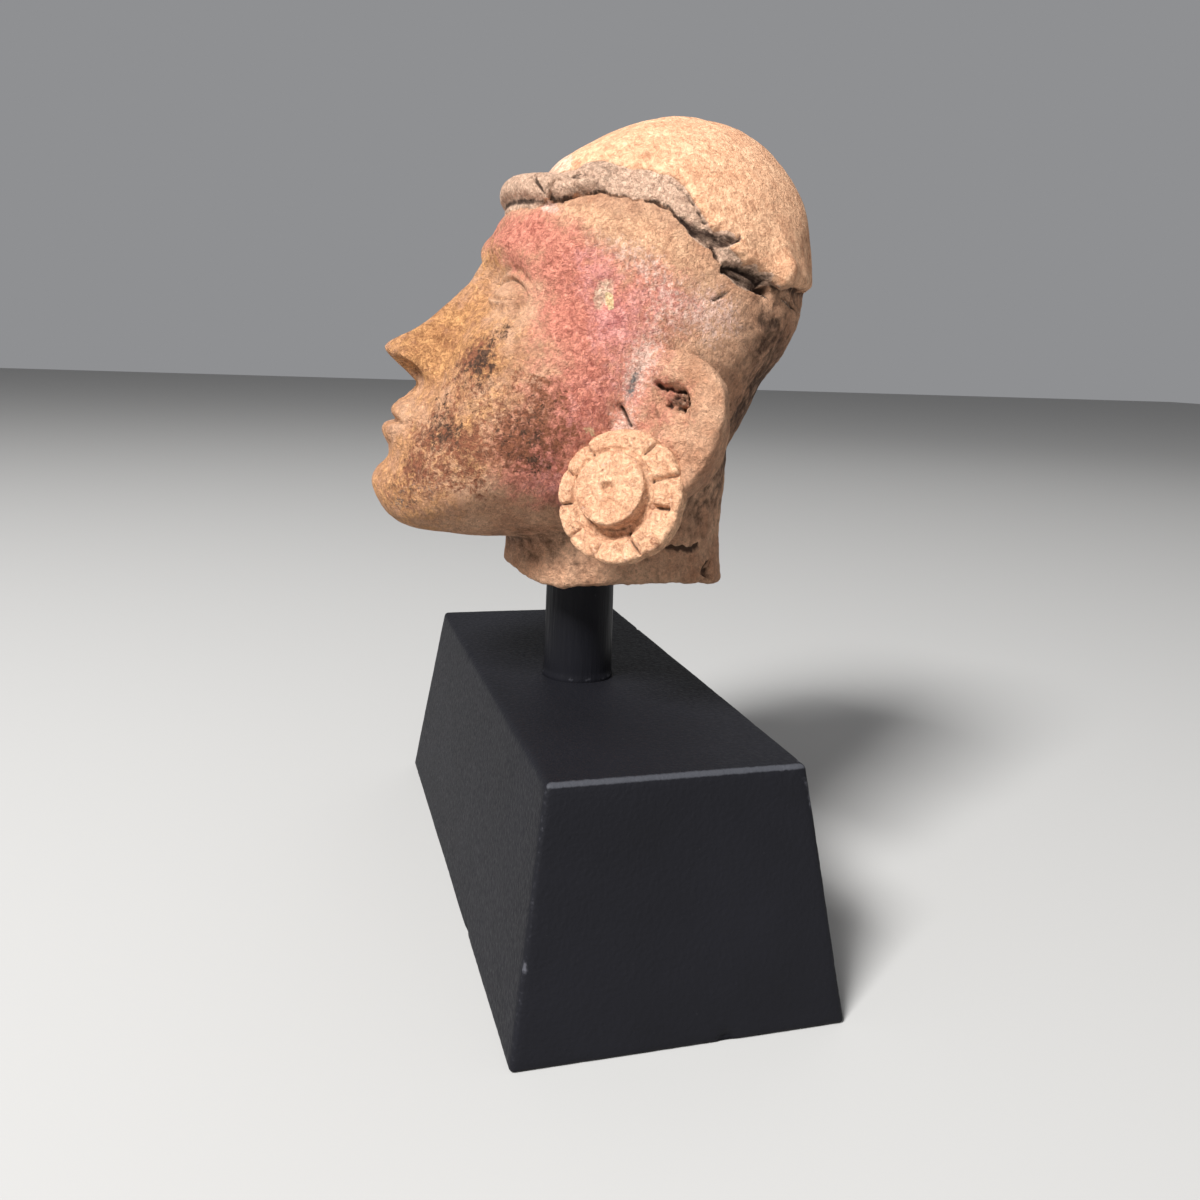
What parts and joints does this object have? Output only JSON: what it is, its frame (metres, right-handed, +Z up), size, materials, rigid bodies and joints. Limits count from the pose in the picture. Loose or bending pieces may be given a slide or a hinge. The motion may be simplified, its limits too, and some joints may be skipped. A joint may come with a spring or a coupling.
{
  "type": "pottery head",
  "caption": "Fired-clay head with a close cap, a broken brim and round ear discs, on a black post and a tapered block.",
  "frame": {"origin": "middle of the block's underside, where the part rests", "axes": "+Z up; the face looks along -Y, tilted back; the head's left ear is at +X, along the block's length"},
  "size_m": [0.2304, 0.1498, 0.2703],
  "materials": {
    "fired_clay": "matt, rough, with worn red and black paint",
    "post_paint": "satin black paint, streaked",
    "block_paint": "matt black paint, worn at the arrises"
  },
  "bodies": {
    "root": {"clay_head": "fired_clay", "post": "post_paint", "block": "block_paint"}
  },
  "joints": []
}
